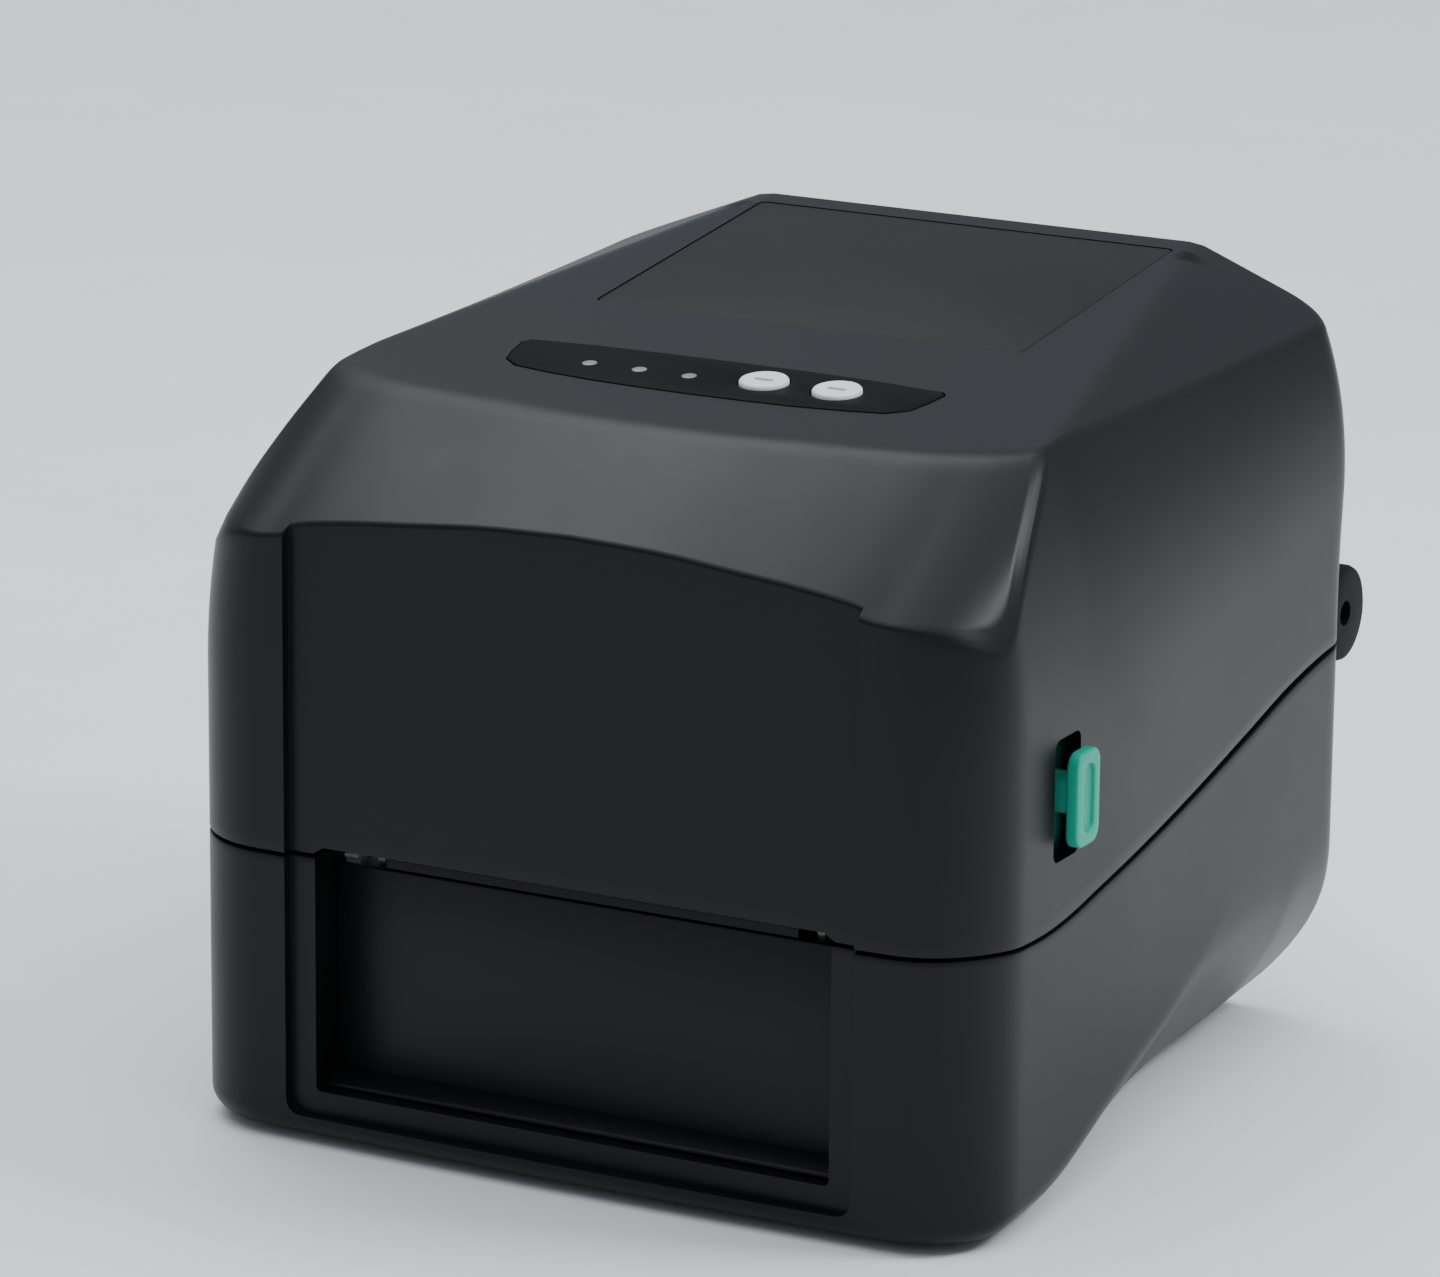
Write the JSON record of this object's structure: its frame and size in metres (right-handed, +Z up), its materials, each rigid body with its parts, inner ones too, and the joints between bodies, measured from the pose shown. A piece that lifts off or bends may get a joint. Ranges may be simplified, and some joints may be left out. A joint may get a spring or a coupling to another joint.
{
  "type": "thermal label printer",
  "caption": "Desktop clamshell thermal label printer with a hinged cover, smoked window, key panel, side latch tabs and a front label slot over a recessed front panel.",
  "frame": {"origin": "centre of the footprint's bounding box, on the surface the feet stand on", "axes": "+Z up, -Y towards the front with the label slot, +X to the right seen from the front"},
  "size_m": [0.236, 0.244, 0.2061],
  "materials": {
    "casing": "satin",
    "smoked": "gloss",
    "panel": "satin",
    "white_key": "satin",
    "led": "satin",
    "teal": "satin",
    "rubber": "matte",
    "steel": "brushed",
    "zinc": "matte",
    "acetal": "satin",
    "grey_plastic": "matte",
    "board": "satin",
    "ceramic": "gloss",
    "aluminium": "satin",
    "motor": "satin"
  },
  "bodies": {
    "base": {"base_shell": "casing", "front_bezel": "casing", "tear_bar": "steel", "media_deck": "grey_plastic", "chassis_plate_left": "zinc", "chassis_plate_right": "zinc", "foot_front_left": "rubber", "foot_front_right": "rubber", "foot_rear_left": "rubber", "foot_rear_right": "rubber", "main_board": "board", "dc_inlet": "panel", "usb_port": "zinc", "lan_port": "zinc", "serial_port": "zinc", "switch_housing": "panel", "stepper_motor": "motor", "platen_bearing_left": "acetal", "platen_bearing_right": "acetal", "sensor_rail": "steel", "catch_post_left": "steel", "catch_post_right": "steel", "hinge_pin_left": "steel", "hinge_pin_right": "steel"},
    "cover": {"cover_shell": "casing", "window_pane": "smoked", "control_panel": "panel", "key_board": "board", "led_pipe_1": "led", "led_pipe_2": "led", "led_pipe_3": "led", "ribbon_frame_left": "zinc", "ribbon_frame_right": "zinc", "frame_crossbar": "zinc", "spring_bar": "zinc", "ribbon_guide_bar": "steel", "ribbon_motor": "zinc", "head_spring_left": "steel", "head_spring_right": "steel"},
    "feed": {"feed_key": "white_key"},
    "pause": {"pause_key": "white_key"},
    "latch": {"latch_lever_left": "teal", "latch_lever_right": "teal", "latch_shaft": "steel"},
    "head": {"head_bracket": "zinc", "heat_sink": "aluminium", "thermal_head": "ceramic"},
    "platen": {"platen_shaft": "steel", "platen_rubber": "rubber", "platen_gear": "acetal"},
    "idler": {"idler_gear": "acetal"},
    "pinion": {"motor_pinion": "steel"},
    "supply": {"ribbon_supply_spindle": "acetal"},
    "take_up": {"ribbon_take_up_spindle": "acetal"},
    "ribbon_drive": {"ribbon_pinion": "steel"},
    "guide_left": {"media_guide_left": "grey_plastic"},
    "guide_right": {"media_guide_right": "grey_plastic"},
    "guide_gear": {"guide_pinion": "acetal"},
    "sensor": {"gap_sensor": "grey_plastic"},
    "rocker": {"power_rocker": "panel"}
  },
  "joints": [
    {"name": "cover_hinge", "type": "hinge", "parent": "base", "child": "cover", "pos_m": [0, 0.109, 0.11], "axis": [-1, 0, 0], "range_deg": [0, 80]},
    {"name": "latch_release", "type": "hinge", "parent": "cover", "child": "latch", "pos_m": [0, -0.062, 0.138], "axis": [-1, 0, 0], "range_deg": [0, 8], "stiffness_Nm_per_rad": 0.6, "springref_deg": -17.19},
    {"name": "feed_press", "type": "slide", "parent": "cover", "child": "feed", "axis": [0, 0.1001, -0.995], "range_m": [0, 0.0009], "stiffness_N_per_m": 300, "springref_m": -0.0015},
    {"name": "pause_press", "type": "slide", "parent": "cover", "child": "pause", "axis": [0, 0.1001, -0.995], "range_m": [0, 0.0009], "stiffness_N_per_m": 300, "springref_m": -0.0015},
    {"name": "head_tilt", "type": "hinge", "parent": "cover", "child": "head", "pos_m": [0, -0.052, 0.112], "axis": [-1, 0, 0], "range_deg": [-0.6, 2], "stiffness_Nm_per_rad": 4, "springref_deg": -2.86, "deforming": ["head_spring_left", "head_spring_right"]},
    {"name": "platen_spin", "type": "hinge", "parent": "base", "child": "platen", "pos_m": [0, -0.092, 0.0676], "axis": [1, 0, 0], "continuous": true},
    {"name": "idler_spin", "type": "hinge", "parent": "base", "child": "idler", "pos_m": [-0.07, -0.07168, 0.05055], "axis": [1, 0, 0], "continuous": true},
    {"name": "motor_spin", "type": "hinge", "parent": "base", "child": "pinion", "pos_m": [-0.07, -0.05673, 0.03709], "axis": [1, 0, 0], "continuous": true},
    {"name": "supply_spin", "type": "hinge", "parent": "cover", "child": "supply", "pos_m": [0, -0.03, 0.152], "axis": [1, 0, 0], "continuous": true},
    {"name": "take_up_spin", "type": "hinge", "parent": "cover", "child": "take_up", "pos_m": [0, -0.084, 0.134], "axis": [1, 0, 0], "continuous": true},
    {"name": "ribbon_motor_spin", "type": "hinge", "parent": "cover", "child": "ribbon_drive", "pos_m": [-0.07, -0.08015, 0.15212], "axis": [1, 0, 0], "continuous": true},
    {"name": "guide_left_slide", "type": "slide", "parent": "base", "child": "guide_left", "axis": [1, 0, 0], "range_m": [-0.009, 0.032]},
    {"name": "guide_right_slide", "type": "slide", "parent": "base", "child": "guide_right", "axis": [1, 0, 0], "range_m": [-0.032, 0.009]},
    {"name": "guide_pinion_spin", "type": "hinge", "parent": "base", "child": "guide_gear", "pos_m": [0, 0.03, 0.036], "axis": [0, 0, 1], "range_deg": [-290, 85]},
    {"name": "sensor_slide", "type": "slide", "parent": "base", "child": "sensor", "axis": [1, 0, 0], "range_m": [-0.04, 0.04]},
    {"name": "power_rock", "type": "hinge", "parent": "base", "child": "rocker", "pos_m": [0.057, 0.098, 0.0265], "axis": [1, 0, 0], "range_deg": [0, 12]}
  ],
  "couplings": [
    {"joint": "idler_spin", "follows": "platen_spin", "ratio": -0.83333},
    {"joint": "motor_spin", "follows": "platen_spin", "ratio": 2.1429},
    {"joint": "ribbon_motor_spin", "follows": "take_up_spin", "ratio": -2.2857},
    {"joint": "guide_right_slide", "follows": "guide_left_slide", "ratio": -1},
    {"joint": "guide_pinion_spin", "follows": "guide_left_slide", "rad_per_m": -156.25}
  ]
}
